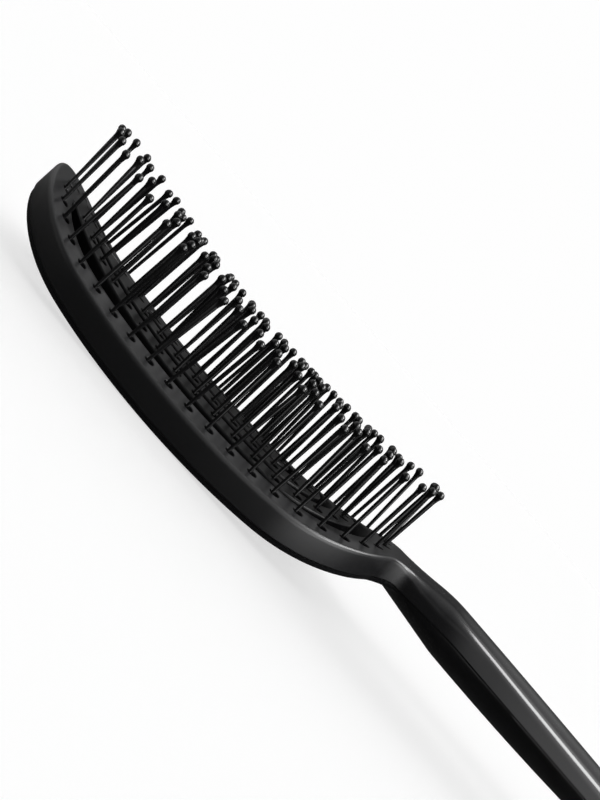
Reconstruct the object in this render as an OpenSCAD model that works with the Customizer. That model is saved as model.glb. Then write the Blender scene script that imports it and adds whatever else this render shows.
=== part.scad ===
// Vented detangling brush with a curved, domed head. Moulded pins stand on strips that lie
// in channels behind the ribs and come out through clearance holes in the face.
// Millimetres. +X runs from the handle to the tip of the head, +Z is the way the pins point.
// The origin is under the middle of the brush, at the height of its lowest edge.

/* [Overall] */
// Length from the tip of the head to the end of the handle
overall_len = 236; // [225:1:250]

/* [Head] */
// Length of the head
head_len = 120; // [116:1:126]
// Width of the head
head_w = 70; // [68:1:74]
// How much smaller the radius of the head's round ends is than half its width
end_narrowing = 2; // [1.5:0.1:5]
// Lengthwise radius of the middle of the face
mid_curve_r = 420; // [390:10:600]
// Lengthwise radius of the face towards the tip
tip_end_r = 95; // [88:1:110]
// Lengthwise radius of the face towards the neck
neck_end_r = 85; // [82:1:100]
// Half the length of the flatter middle of the face
mid_curve_half = 30.5; // [28:0.5:32]
// Change of slope in degrees where the middle meets the ends
curve_break = 0.6; // [0.5:0.05:0.8]
// Radius of the dome across the face
dome_r = 146; // [125:1:200]

/* [Front frame] */
// Thickness of the face
face_t = 2; // [1.6:0.1:2.4]
// Depth of the skirt from the face to its back edge
skirt_h = 6.2; // [5.8:0.1:7]
// Width of the outer ring
ring_w = 8.5; // [8:0.1:9]
// Distance from the head's outline to the outermost row of pins
rim_row_inset = 5; // [4.6:0.1:5.2]

/* [Ribs and vents] */
// Width of the vent between the ring and the outer rib
ring_vent_w = 3.1; // [2.6:0.1:3.6]
// Width of the other vents
vent_w = 2.4; // [2:0.1:2.8]
// Share of the outer rib's half width, less its two vents, that one rib takes
rib_share = 0.35; // [0.33:0.005:0.37]
// Opening at the handle end of the outermost vent
ring_vent_end = 4.3; // [3.8:0.1:5]
// Opening at the handle end of the other vents
vent_end = 3.3; // [2.8:0.1:3.8]
// Distance beyond the ring's inner edge at which the outer rib's sides would meet
rib_tip_run = 5.6; // [4.8:0.1:8]
// Radius of the outermost vent's narrow end at the tip
ring_vent_tip_r = 0.7; // [0.5:0.05:0.9]
// Half width of the web between the two ends of the middle vent
mid_web_half = 1.6; // [1.2:0.1:2]
// Half width of the web between the two ends of the innermost vent
spine_web_half = 2.2; // [2:0.1:2.6]

/* [Pins] */
// Diameter of a pin
pin_d = 1.1; // [1:0.05:1.3]
// Diameter of the ball at the tip of a pin
ball_d = 2.05; // [1.8:0.05:2.2]
// Length of the taper under the ball
pin_neck_h = 1.5; // [1:0.1:2]
// Height of the pins over the middle of the face
pin_rise = 19.4; // [15:0.2:22]
// Lengthwise radius of the surface that the tips lie on
tip_curve_r = 300; // [250:10:500]
// Radius across of the surface that the tips lie on
tip_dome_r = 366; // [300:2:600]
// Distance between pins along a row
pin_pitch = 6.4; // [6:0.05:6.8]
// Diameter of the hole that a pin comes out of
pin_hole_d = 2.4; // [2.2:0.05:2.6]

/* [Strips] */
// Thickness of a rib beside its channel
rib_wall = 1.35; // [1.2:0.05:1.5]
// Thickness of the ring between its channel and the outermost vent
ring_wall = 1.6; // [1.4:0.05:1.8]
// Thickness of the strips
strip_t = 1.7; // [1.4:0.1:1.9]
// Clearance beside a strip in its channel
strip_side_gap = 0.2; // [0.15:0.05:0.3]
// Clearance over and under a strip
strip_seat_gap = 0.1; // [0.05:0.01:0.15]
// Gap between the left and right strips where they meet
strip_split = 1.2; // [0.8:0.1:1.6]
// Distance from the middle line to the first pin of the outer rib
outer_first_y = 5; // [4.4:0.1:6]
// Distance from the middle line to the first pin of the inner rib
inner_first_y = 2.9; // [2.7:0.05:3.4]
// Distance from the round end of the spine to its last pin
spine_pin_inset = 2.4; // [2.2:0.1:3]

/* [Back frame] */
// Thickness of the back frame's plate
back_t = 1.2; // [1:0.1:1.6]
// How far the back frame's edge lies inside the skirt
back_inset = 0.4; // [0.2:0.1:0.8]
// Gap between the two frames
seam_gap = 0.1; // [0.05:0.01:0.15]

/* [Handle] */
// Width of the handle at its widest
handle_w = 23; // [21:0.5:26]
// Width of the neck
neck_w = 17; // [15:0.5:19]
// How far the handle's highest place lies above the end of the face
handle_rise = 1.5; // [1.2:0.05:1.8]
// Depth of the handle at its thickest
handle_h = 12.8; // [12:0.1:14]
// How far the parting line rises from the skirt's back edge to the handle
parting_rise = 1.75; // [1.4:0.05:2.1]
// Radius of the crown on top of the handle
crown_r = 21.6; // [19:0.2:28]
// Radius of the handle's belly
belly_r = 13; // [12.2:0.1:15]
// Half width of the handle's top shoulder
shoulder_half = 9.8; // [9:0.1:10.5]
// How far the handle's top drops to its end
tail_drop = 1.6; // [1:0.1:2]
// How far the handle's underside rises to its end
tail_rise = 5; // [3.5:0.1:5.2]
// Share of the handle's length, from its highest place, at which its underside is lowest
belly_share = 0.17; // [0.14:0.01:0.24]
// Fillet between the head and the neck, seen from above
neck_fillet_r = 7; // [6:0.5:8]
// Distance from the head's end to where the handle is highest
neck_rise_len = 15; // [13:0.5:18]
// Radius of the hanging hole
hang_hole_r = 3.5; // [3:0.1:4]
// Distance from the handle's end to the centre of the hanging hole
hang_hole_inset = 10; // [8.5:0.5:12]
// How far the neck's slopes begin inside the end of the head
neck_start = 3; // [2.5:0.5:4]
// How far the neck's top starts below the crest of the face
neck_dip = 0.5; // [0.4:0.05:0.7]
// How far the parting line starts above the skirt's back edge
parting_step = 0.5; // [0.4:0.05:0.7]
// Distance from the handle's highest place to where the parting line levels out
parting_run = 5; // [3:0.5:8]
// Diameter of the locating pegs inside the handle
peg_d = 5; // [4:0.5:6]
// Height of the locating pegs
peg_h = 3.6; // [3:0.1:4]
// Clearance round a locating peg
peg_gap = 0.2; // [0.1:0.05:0.3]

/* [Hidden] */
$fn = 64;
arc_fn = 720;
cut = 1;
// How far an arc runs past the one that it blends into, so that their crossing is clear
outline_lap = 0.005;
fillet_lap = 0.05;
housing_color = "#232325";
pin_color = "#111112";

// Outline of the head: four arcs, two round ends and two long sides
head_half = head_len / 2;
head_half_w = head_w / 2;
head_end_r = head_half_w - end_narrowing;
end_centre = head_half - head_end_r;
head_side_r = (end_centre * end_centre + head_half_w * head_half_w - head_end_r * head_end_r)
    / (2 * (head_half_w - head_end_r));
side_centre = head_side_r - head_half_w;
end_arc = atan2(side_centre, end_centre);

// Lengthwise curve of the face: one flat arc between two tighter ones
mid_arc = asin(mid_curve_half / mid_curve_r);
end_slope = mid_arc + curve_break;
deepest = head_w / 4;
slice_sweep = 2 * asin((head_w / 2 + cut) / (dome_r - deepest));

// Ribs: closed loops, pointed at the tip and round at the handle end
ring_inner_half = head_half - ring_w;
outer_half_w = head_half_w - ring_w - ring_vent_w;
outer_reach = ring_inner_half - ring_vent_end;
rib_w = rib_share * (outer_half_w - 2 * vent_w);
inner_half_w = outer_half_w - rib_w - vent_w;
inner_reach = outer_reach - rib_w - vent_end;
spine_half_w = inner_half_w - rib_w - vent_w;
spine_reach = inner_reach - rib_w - vent_end;
rib_tip_x = ring_inner_half + rib_tip_run;
rib_side_r = (rib_tip_x * rib_tip_x + outer_half_w * outer_half_w) / (2 * outer_half_w);
rib_axis_y = rib_side_r - outer_half_w;

// Layers, measured down from the face
strip_top = face_t + strip_seat_gap;
strip_low = strip_top + strip_t;
tongue_top = strip_low + strip_seat_gap;
back_top = skirt_h + seam_gap;
back_low = back_top + back_t;
rim_channel_w = 2 * (ring_w - rim_row_inset - ring_wall);
rib_channel_w = rib_w - 2 * rib_wall;
rim_strip_w = rim_channel_w - 2 * strip_side_gap;
rib_strip_w = rib_channel_w - 2 * strip_side_gap;

// Place of the head and the handle in the frame of the whole brush
head_x = overall_len / 2 - head_half;
back_half_w = head_half_w - back_inset;
base_z = dome_r - sqrt(pow(dome_r - back_low, 2) - back_half_w * back_half_w);
handle_end = head_half - overall_len;
handle_peak = -head_half - neck_rise_len;
handle_half_w = handle_w / 2;
neck_half = neck_w / 2;
swell_x = (handle_peak + handle_end) / 2;
fillet_y = neck_half + neck_fillet_r - fillet_lap;
neck_x = -end_centre - sqrt(pow(head_end_r + neck_fillet_r - fillet_lap, 2) - fillet_y * fillet_y);
swell_r = (pow(neck_x - swell_x, 2) + pow(handle_half_w - neck_half, 2))
    / (2 * (handle_half_w - neck_half));
hole_x = handle_end + hang_hole_inset;
peg_xs = [handle_peak - peg_d, (handle_peak + hole_x) / 2, hole_x + 2 * hang_hole_inset];

// Centre of the arc towards the tip (side 1) or the neck (side -1), in side view
function end_r(side) = side > 0 ? tip_end_r : neck_end_r;
function end_axis_x(side) = side * (mid_curve_half - end_r(side) * sin(end_slope));
function end_axis_z(side) = mid_curve_r * (1 - cos(mid_arc)) + end_r(side) * cos(end_slope);

// Height over the middle of the face, on the centre line, of a layer near one end of the head
function layer_z(x, depth) =
    let (side = sign(x))
    end_axis_z(side) - sqrt(pow(end_r(side) + depth, 2) - pow(x - end_axis_x(side), 2));

// Height of the face over its middle, at a place on the head
function centre_z(x) = abs(x) < mid_curve_half
    ? mid_curve_r - sqrt(mid_curve_r * mid_curve_r - x * x)
    : layer_z(x, 0);
function face_z(x, y) = sqrt(pow(dome_r + centre_z(x), 2) - y * y) - dome_r;

// Height of a pin's tip
function tip_z(x, y) = pin_rise + tip_curve_r - sqrt(tip_curve_r * tip_curve_r - x * x)
    - (tip_dome_r - sqrt(tip_dome_r * tip_dome_r - y * y));

// Half width of the handle, and the round end that fits it
function swell(x) = handle_half_w - (swell_r - sqrt(swell_r * swell_r - pow(x - swell_x, 2)));
end_round_r = swell(handle_end + swell(handle_end + handle_half_w)) + fillet_lap;

// Neck and handle seen from the side, each point [x, z]
handle_top = layer_z(-head_half, 0) + handle_rise;
parting_z = layer_z(-head_half, skirt_h) + parting_rise;
handle_low = handle_top - handle_h;
neck_inner_x = neck_start - head_half;
neck_top_z = layer_z(neck_inner_x, 0) - neck_dip;
neck_slope = (handle_top - neck_top_z) / (neck_inner_x - handle_peak);
apron_x = neck_inner_x + neck_start;
parting_x = handle_peak - parting_run;
parting_line = [[neck_inner_x, layer_z(neck_inner_x, skirt_h) + parting_step],
    [-head_half, layer_z(-head_half, skirt_h) + parting_step],
    [parting_x, parting_z], [handle_end - cut, parting_z]];
belly_x = handle_peak + belly_share * (handle_end - handle_peak);
top_curve_r = (pow(handle_peak - handle_end, 2) + tail_drop * tail_drop) / (2 * tail_drop);
under_curve_r = (pow(belly_x - handle_end, 2) + tail_rise * tail_rise) / (2 * tail_rise);
under_z = handle_low + under_curve_r
    - sqrt(under_curve_r * under_curve_r - pow(parting_x - belly_x, 2));
plate_middle = back_top + back_t / 2;
heel_x = -head_half - seam_gap;
heel_z = layer_z(-head_half, skirt_h) + parting_step - seam_gap;
bar_sweep = 2 * asin(overall_len / 2 / under_curve_r);

// Place on the head's outline moved in by an inset, a way round from the tip
function rim_point(way, inset) =
    let (end_r = head_end_r - inset, side_r = head_side_r - inset,
         first = end_r * end_arc * PI / 180, side_arc = 180 - 2 * end_arc,
         second = first + side_r * side_arc * PI / 180)
    way < first
        ? let (a = way / end_r * 180 / PI)
            [end_centre + end_r * cos(a), end_r * sin(a)]
        : way < second
            ? let (a = end_arc + (way - first) / side_r * 180 / PI)
                [side_r * cos(a), side_r * sin(a) - side_centre]
            : let (a = 180 - end_arc + (way - second) / end_r * 180 / PI)
                [end_r * cos(a) - end_centre, end_r * sin(a)];

function rim_length(inset) =
    (2 * (head_end_r - inset) * end_arc + (head_side_r - inset) * (180 - 2 * end_arc)) * PI / 180;

// Place on the left half of a rib's row, a way along from its first pin towards the handle
function rib_point(way, start, half_w, reach) =
    let (side_r = rib_axis_y + half_w, first_arc = asin(start / side_r),
         side_len = side_r * first_arc * PI / 180, straight = reach - half_w)
    way < side_len
        ? let (a = 90 - first_arc + way / side_r * 180 / PI)
            [side_r * cos(a), side_r * sin(a) - rib_axis_y]
        : way < side_len + straight
            ? [side_len - way, half_w]
            : let (a = 90 + (way - side_len - straight) / half_w * 180 / PI)
                [half_w * cos(a) - straight, half_w * sin(a)];

function rib_length(start, half_w, reach) =
    let (side_r = rib_axis_y + half_w)
    side_r * asin(start / side_r) * PI / 180 + reach - half_w + half_w * PI / 2;

// A row's pins on the left half, evenly spaced and half a step short of the middle line
function rib_row(start, half_w, reach) =
    let (len = rib_length(start, half_w, reach), count = round(len / pin_pitch + 0.5),
         step = len / (count - 0.5))
    [for (i = [0 : count - 1]) rib_point(i * step, start, half_w, reach)];

rim_half_len = rim_length(rim_row_inset);
rim_count = round(rim_half_len / pin_pitch);
rim_row = [for (i = [0 : rim_count - 1])
    rim_point((i + 0.5) * rim_half_len / rim_count, rim_row_inset)];

outer_row_w = outer_half_w - rib_w / 2;
outer_row_reach = outer_reach - rib_w / 2;
outer_row_start = sqrt(pow(rib_axis_y + outer_row_w, 2) - pow(rib_axis_y + outer_first_y, 2));
outer_row = rib_row(outer_row_start, outer_row_w, outer_row_reach);

inner_row_w = inner_half_w - rib_w / 2;
inner_row_reach = inner_reach - rib_w / 2;
inner_row_start = sqrt(pow(rib_axis_y + inner_row_w, 2) - pow(rib_axis_y + inner_first_y, 2));
inner_row = rib_row(inner_row_start, inner_row_w, inner_row_reach);

spine_row_half = spine_reach - spine_pin_inset;
spine_gaps = round(2 * spine_row_half / pin_pitch);
spine_row = [for (i = [0 : spine_gaps]) [(2 * i / spine_gaps - 1) * spine_row_half, 0]];

// Where two circles cross, on the side with the greater x
function crossing(c1, r1, c2, r2) =
    let (d = norm(c2 - c1), along = (r1 * r1 - r2 * r2 + d * d) / (2 * d),
         off = sqrt(r1 * r1 - along * along), u = (c2 - c1) / d)
    c1 + along * u + off * (u.y < 0 ? [-u.y, u.x] : [u.y, -u.x]);

// Place on a vent's middle line where the web beside its end leaves it
function vent_tip(middle_w, web_half) =
    let (side_r = rib_axis_y + middle_w, y = web_half + vent_w / 2)
    [sqrt(side_r * side_r - pow(y + rib_axis_y, 2)), y];

// Moves a piece from the middle of the face to the frame of the whole brush
module placed() {
    translate([head_x, 0, base_z]) children();
}

// Side view of what lies over the face moved down by a depth, as [distance from the dome's axis, x]
module hollow(depth) {
    join_r = (tip_end_r + neck_end_r) / 2;
    join_half = mid_curve_half - curve_break * PI / 180 * mid_curve_r * join_r / (mid_curve_r - join_r);
    intersection() {
        translate([dome_r + mid_curve_r, 0]) circle(r = mid_curve_r + depth, $fn = arc_fn);
        union() {
            translate([dome_r - deepest, -join_half]) square([head_len, 2 * join_half]);
            for (side = [-1, 1]) translate([dome_r + end_axis_z(side), end_axis_x(side)])
                circle(r = end_r(side) + depth, $fn = arc_fn);
        }
        translate([dome_r - deepest, -head_half - cut]) square([head_half, head_len + 2 * cut]);
    }
}

// Domed slice of the head between two depths under the face, cut square at its sides
module layer(top, low) {
    translate([0, 0, -dome_r]) rotate([0, 90, 0]) rotate([0, 0, 180 - slice_sweep / 2])
        rotate_extrude(angle = slice_sweep, $fn = arc_fn) difference() {
            hollow(low);
            hollow(top);
        }
}

// Part of the head between two depths, with the outline that the children draw
module head_part(top, low) {
    intersection() {
        layer(top, low);
        translate([0, 0, -head_w]) linear_extrude(2 * head_w) children();
    }
}

// Outline of the head moved in by an inset
module head_outline(inset) {
    for (side = [-1, 1])
        translate([side * end_centre, 0]) circle(r = head_end_r - inset, $fn = arc_fn);
    intersection() {
        translate([0, -side_centre]) circle(r = head_side_r - inset - outline_lap, $fn = arc_fn);
        translate([0, side_centre]) circle(r = head_side_r - inset - outline_lap, $fn = arc_fn);
        square([2 * (end_centre + (head_end_r - inset) * cos(end_arc)), head_w], center = true);
    }
}

// Closed loop of a rib's edge: side arcs to a point at the tip, round at the handle end
module rib_loop(half_w, reach) {
    straight = reach - half_w;
    intersection() {
        translate([0, -rib_axis_y]) circle(r = rib_axis_y + half_w, $fn = arc_fn);
        translate([0, rib_axis_y]) circle(r = rib_axis_y + half_w, $fn = arc_fn);
        translate([-cut, -half_w]) square([head_half, 2 * half_w]);
    }
    translate([-straight, -half_w]) square([straight, 2 * half_w]);
    translate([-straight, 0]) circle(r = half_w, $fn = arc_fn);
}

// Left half plane, as far as the line through a point from the middle of the side arcs
module before_tip(point) {
    near_x = point.x * rib_axis_y / (point.y + rib_axis_y);
    far_x = point.x * (rib_axis_y + head_half_w) / (point.y + rib_axis_y);
    polygon([[-head_half, 0], [near_x, 0], [far_x, head_half_w], [-head_half, head_half_w]]);
}

// Vent between two edges, open round the handle end, with a round end each side of the tip
module vent(tip, tip_r) {
    for (side = [0, 1]) mirror([0, side, 0]) {
        intersection() {
            difference() {
                children(0);
                children(1);
            }
            before_tip(tip);
        }
        translate(tip) circle(r = tip_r);
    }
}

module vents() {
    ring_tip = crossing([end_centre, 0], head_end_r - ring_w - ring_vent_tip_r,
        [0, -rib_axis_y], rib_side_r + ring_vent_tip_r);
    vent(ring_tip, ring_vent_tip_r) {
        head_outline(ring_w);
        rib_loop(outer_half_w, outer_reach);
    }
    vent(vent_tip(inner_half_w + vent_w / 2, mid_web_half), vent_w / 2) {
        rib_loop(inner_half_w + vent_w, outer_reach - rib_w);
        rib_loop(inner_half_w, inner_reach);
    }
    vent(vent_tip(spine_half_w + vent_w / 2, spine_web_half), vent_w / 2) {
        rib_loop(spine_half_w + vent_w, inner_reach - rib_w);
        rib_loop(spine_half_w, spine_reach);
    }
}

// Bands that the channels, strips and tongues follow, each of one width
module rim_band(width) {
    difference() {
        head_outline(rim_row_inset - width / 2);
        head_outline(rim_row_inset + width / 2);
    }
}

module rib_band(width, start, half_w, reach) {
    intersection() {
        difference() {
            rib_loop(half_w + width / 2, reach + width / 2);
            rib_loop(half_w - width / 2, reach - width / 2);
        }
        translate([-head_half, -head_half_w])
            square([head_half + start + width / 2, head_w]);
    }
}

module spine_band(width) {
    square([2 * spine_row_half + width, width], center = true);
}

module all_bands(gap) {
    rim_band(rim_channel_w - 2 * gap);
    rib_band(rib_channel_w - 2 * gap, outer_row_start, outer_row_w, outer_row_reach);
    rib_band(rib_channel_w - 2 * gap, inner_row_start, inner_row_w, inner_row_reach);
    spine_band(rib_channel_w - 2 * gap);
}

// What lies to the left of the middle line
module left_of_middle() {
    intersection() {
        children();
        translate([-head_half, strip_split / 2]) square([head_len, head_half_w]);
    }
}

module pin_at(place) {
    low = face_z(place.x, place.y) - strip_top - strip_t / 2;
    ball_z = tip_z(place.x, place.y) - ball_d / 2;
    translate([place.x, place.y, low]) cylinder(d = pin_d, h = ball_z - low);
    translate([place.x, place.y, ball_z - pin_neck_h])
        cylinder(d1 = pin_d, d2 = (pin_d + ball_d) / 2, h = pin_neck_h);
    translate([place.x, place.y, ball_z]) sphere(d = ball_d);
}

// A strip with its pins, on the left side or mirrored to the right
module pin_strip(row, left) {
    color(pin_color) placed() mirror([0, left ? 0 : 1, 0]) {
        head_part(strip_top, strip_low) children();
        for (place = row) pin_at(place);
    }
}

module pin_holes() {
    for (side = [0, 1]) mirror([0, side, 0])
        for (place = concat(rim_row, outer_row, inner_row)) pin_hole(place);
    for (place = spine_row) pin_hole(place);
}

module pin_hole(place) {
    translate([place.x, place.y, face_z(place.x, place.y) - face_t - cut])
        cylinder(d = pin_hole_d, h = face_t + 2 * cut);
}

// Handle seen from above, moved in by an inset
module handle_outline(inset) {
    intersection() {
        translate([swell_x, handle_half_w - swell_r]) circle(r = swell_r - inset, $fn = arc_fn);
        translate([swell_x, swell_r - handle_half_w]) circle(r = swell_r - inset, $fn = arc_fn);
        union() {
            translate([handle_end + end_round_r, 0]) circle(r = end_round_r - inset, $fn = arc_fn);
            translate([handle_end + end_round_r, -handle_half_w])
                square([neck_x + cut - handle_end - end_round_r, handle_w]);
        }
    }
}

// Neck seen from above, with its fillets to the head, moved in by an inset
module neck_outline(inset) {
    difference() {
        polygon([[-end_centre, 0], [neck_x, fillet_y], [neck_x, -fillet_y]]);
        for (side = [-1, 1])
            translate([neck_x, side * fillet_y]) circle(r = neck_fillet_r + inset, $fn = arc_fn);
    }
}

// Revolved bar whose sides curve about an axis below or above the handle
module handle_bar(axis_x, axis_z, turn) {
    translate([axis_x, 0, axis_z]) rotate([90, 0, 0]) rotate([0, 0, turn - bar_sweep / 2])
        rotate_extrude(angle = bar_sweep, $fn = arc_fn) children();
}

// Upright slice of the handle, bounded by a side view of points [x, z]
module side_slice(points) {
    rotate([90, 0, 0]) translate([0, 0, -handle_w])
        linear_extrude(2 * handle_w) polygon(points);
}

// Top half of the neck, and of the handle with its crown, shoulders and sides that lean out
module handle_upper() {
    shoulder_z = handle_top - crown_r + sqrt(crown_r * crown_r - shoulder_half * shoulder_half);
    intersection() {
        translate([0, 0, handle_low]) linear_extrude(2 * handle_h) neck_outline(0);
        side_slice(concat(parting_line,
            [[handle_end - cut, handle_top + cut], [neck_inner_x, handle_top + cut]]));
    }
    intersection() {
        handle_bar(handle_peak, handle_top - top_curve_r, 90) intersection() {
            translate([top_curve_r - crown_r, 0]) circle(r = crown_r, $fn = arc_fn);
            translate([top_curve_r - handle_top, 0]) polygon([
                [handle_low, -handle_half_w], [parting_z, -handle_half_w], [shoulder_z, -shoulder_half],
                [handle_top + cut, -shoulder_half], [handle_top + cut, shoulder_half],
                [shoulder_z, shoulder_half], [parting_z, handle_half_w], [handle_low, handle_half_w]]);
        }
        translate([0, 0, handle_low]) linear_extrude(2 * handle_h) handle_outline(0);
        side_slice(concat(parting_line,
            [[handle_end - cut, handle_top + cut], [neck_inner_x, handle_top + cut]]));
    }
}

// What lies over the slope from the face up to the handle's highest place
module over_neck() {
    side_slice([[apron_x, neck_top_z - neck_slope * neck_start], [handle_peak, handle_top],
        [handle_peak, head_w], [apron_x, head_w]]);
}

// Bottom half of the handle: a round belly that runs in under the head
module handle_lower() {
    intersection() {
        handle_bar(belly_x, handle_low + under_curve_r, -90)
            translate([under_curve_r - belly_r, 0]) circle(r = belly_r, $fn = arc_fn);
        translate([0, 0, handle_low - cut]) linear_extrude(2 * handle_h) {
            handle_outline(back_inset);
            neck_outline(back_inset);
        }
        side_slice([[neck_inner_x, layer_z(neck_inner_x, plate_middle)],
            [heel_x, layer_z(-head_half, plate_middle)], [heel_x, heel_z],
            [parting_x, parting_z - seam_gap], [handle_end - cut, parting_z - seam_gap],
            [handle_end - cut, handle_low - cut], [parting_x, handle_low - cut], [parting_x, under_z]]);
    }
}

module hang_hole() {
    translate([hole_x, 0, handle_low - cut]) cylinder(r = hang_hole_r, h = handle_h + 2 * cut);
}

// Locating pegs of the back frame, or the sockets that they stand in
module pegs(gap) {
    for (x = peg_xs) translate([x, 0, parting_z - peg_h])
        cylinder(d = peg_d + 2 * gap, h = 2 * peg_h + gap);
}

module front_frame() {
    color(housing_color) placed() difference() {
        union() {
            head_part(0, skirt_h) head_outline(0);
            handle_upper();
        }
        over_neck();
        head_part(face_t, skirt_h + cut) all_bands(0);
        translate([0, 0, -head_w]) linear_extrude(2 * head_w) vents();
        pin_holes();
        pegs(peg_gap);
        hang_hole();
    }
}

module back_frame() {
    color(housing_color) placed() difference() {
        union() {
            head_part(back_top, back_low) head_outline(back_inset);
            head_part(tongue_top, back_top + back_t / 2) all_bands(strip_side_gap);
            handle_lower();
            intersection() {
                pegs(0);
                translate([handle_end, -handle_half_w, handle_low]) cube([overall_len, handle_w, 2 * handle_h]);
            }
        }
        translate([0, 0, -head_w]) linear_extrude(2 * head_w) vents();
        hang_hole();
    }
}

module rim_pins_left() { pin_strip(rim_row, true) left_of_middle() rim_band(rim_strip_w); }
module rim_pins_right() { pin_strip(rim_row, false) left_of_middle() rim_band(rim_strip_w); }

module outer_rib_pins(left) {
    pin_strip(outer_row, left) left_of_middle()
        rib_band(rib_strip_w, outer_row_start, outer_row_w, outer_row_reach);
}

module outer_rib_pins_left() { outer_rib_pins(true); }
module outer_rib_pins_right() { outer_rib_pins(false); }

module inner_rib_pins(left) {
    pin_strip(inner_row, left) left_of_middle()
        rib_band(rib_strip_w, inner_row_start, inner_row_w, inner_row_reach);
}

module inner_rib_pins_left() { inner_rib_pins(true); }
module inner_rib_pins_right() { inner_rib_pins(false); }

module spine_pins() { pin_strip(spine_row, true) spine_band(rib_strip_w); }

front_frame();
back_frame();
rim_pins_left();
rim_pins_right();
outer_rib_pins_left();
outer_rib_pins_right();
inner_rib_pins_left();
inner_rib_pins_right();
spine_pins();
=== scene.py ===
import math

import bmesh
import bpy
import numpy as np
from mathutils import Matrix, Vector
from mathutils.geometry import delaunay_2d_cdt


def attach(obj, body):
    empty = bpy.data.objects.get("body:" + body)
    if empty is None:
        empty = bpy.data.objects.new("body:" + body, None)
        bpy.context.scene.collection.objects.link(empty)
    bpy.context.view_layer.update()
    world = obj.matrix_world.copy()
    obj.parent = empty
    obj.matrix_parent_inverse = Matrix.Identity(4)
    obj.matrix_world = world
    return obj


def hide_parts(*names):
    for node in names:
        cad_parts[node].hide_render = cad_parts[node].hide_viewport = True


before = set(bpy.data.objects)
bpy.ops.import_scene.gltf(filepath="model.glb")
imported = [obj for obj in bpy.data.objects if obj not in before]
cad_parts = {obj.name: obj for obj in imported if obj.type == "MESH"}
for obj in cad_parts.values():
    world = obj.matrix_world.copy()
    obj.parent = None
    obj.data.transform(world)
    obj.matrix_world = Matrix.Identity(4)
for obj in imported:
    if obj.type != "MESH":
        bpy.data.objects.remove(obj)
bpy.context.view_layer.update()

# Sizes are millimetres about the middle of the face, x to the tip and z the way the pins point.
# metres() takes them to the frame of the whole brush.
millimetre = 0.001
place = {"headX": 58.0, "baseZ": 11.89}
fine = {  # distances between points, along edges and over faces
    "edge": 0.9,
    "fillet": 0.6,
    "swell": 1.6,
    "handleEnd": 0.7,
    "ringTip": 0.2,
    "ventTip": 0.3,
    "bandEnd": 0.4,
    "gloss": 1.7,
    "channel": 3.0,
    "inside": 3.5,
}
head = {
    "half": 60.0,  # half of its length
    "halfWidth": 35.0,
    "endRadius": 33.0,  # plan, at the tip and at the neck
    "domeRadius": 146.0,  # the face's arc across
    "midCurve": 420.0,  # the face's lengthwise radius at the middle
    "tipBend": (1.387e-7, 5.42e-11),  # more drop with the 4th and 6th power of x, to the tip
    "neckBend": (2.279e-7, 3.708e-11),  # and to the neck
    "bendEnd": -74.0,  # no more drop past this x
    "skirt": 6.2,  # depth of the front frame's edge below the face
    "ringWidth": 8.5,
    "rimInset": 5.0,  # line of the rim's pins, in from the outline
    "ringVent": 3.1,  # opening inside the ring, at the side
    "ringVentEnd": 4.3,  # and at the neck
    "vent": 2.4,  # openings between the ribs, the same
    "ventEnd": 3.3,
    "rib": 6.51,
    "ribSide": 81.367,  # radius of the outer rib's side
    "ringTipRadius": 0.7,
    "midWeb": 1.6,  # half of the bridge at the tip end of an opening
    "spineWeb": 2.2,
}


def metres(points):
    return (np.asarray(points) + [place["headX"], 0.0, place["baseZ"]]) * millimetre


def smoothStep(x, low, high):
    # 0 up to low, 1 from high, and 3 t^2 - 2 t^3 between
    t = np.clip((x - low) / (high - low), 0.0, 1.0)
    return t * t * (3.0 - 2.0 * t)


def softMin(a, b, blend):
    # the lower of two heights, rounded where they cross
    h = np.clip(0.5 + 0.5 * (b - a) / blend, 0.0, 1.0)
    return b * (1.0 - h) + a * h - blend * h * (1.0 - h)


def dip(offset, radius, limit=math.inf):
    # how far a circle falls away from its top at an offset, and no further past a limit
    return radius - np.sqrt(radius**2 - np.minimum(np.abs(offset), limit) ** 2)


def rays(angles):
    # unit vectors at angles in radians
    return np.stack([np.cos(angles), np.sin(angles)], 1)


def angleOf(v):
    # direction of a vector in degrees
    return math.degrees(math.atan2(v[1], v[0]))


# Plans: every edge is a chain of arcs and straight runs, each giving points and the normals
# that point away from the plastic. The upper half is made, and its mirror image closes it.
flipY = np.array([1.0, -1.0])


def arcRun(centre, radius, start, end, turn=1.0, step=fine["edge"]):
    # points on a circle between two angles in degrees; with turn -1 the plastic lies outside it
    count = max(3, int(math.radians(abs(end - start)) * radius / step) + 1)
    ray = rays(np.radians(np.linspace(start, end, count + 1)))
    return np.asarray(centre) + radius * ray, turn * ray


def straightRun(start, end, normal):
    # evenly spaced points between two ends
    start, end = np.asarray(start, float), np.asarray(end, float)
    count = max(1, int(np.linalg.norm(end - start) / fine["edge"]) + 1)
    t = np.linspace(0.0, 1.0, count + 1)[:, None]
    return start + t * (end - start), np.tile(np.asarray(normal, float), (count + 1, 1))


def chain(*runs):
    # runs joined end to end, with each shared point kept once
    points = [runs[0][0]] + [r[0][1:] for r in runs[1:]]
    normals = [runs[0][1]] + [r[1][1:] for r in runs[1:]]
    return np.concatenate(points), np.concatenate(normals)


def mirrored(run):
    # the upper half goes from one end of the middle line to the other, and the lower half closes it
    return tuple(np.concatenate([values, values[-2:0:-1] * flipY]) for values in run)


def circleLoop(centre, radius, count):
    # a round hole's edge; the plastic lies outside it, so its normals point in
    ray = rays(np.linspace(0.0, 2 * math.pi, count, endpoint=False))
    return np.asarray(centre) + radius * ray, -ray


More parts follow.
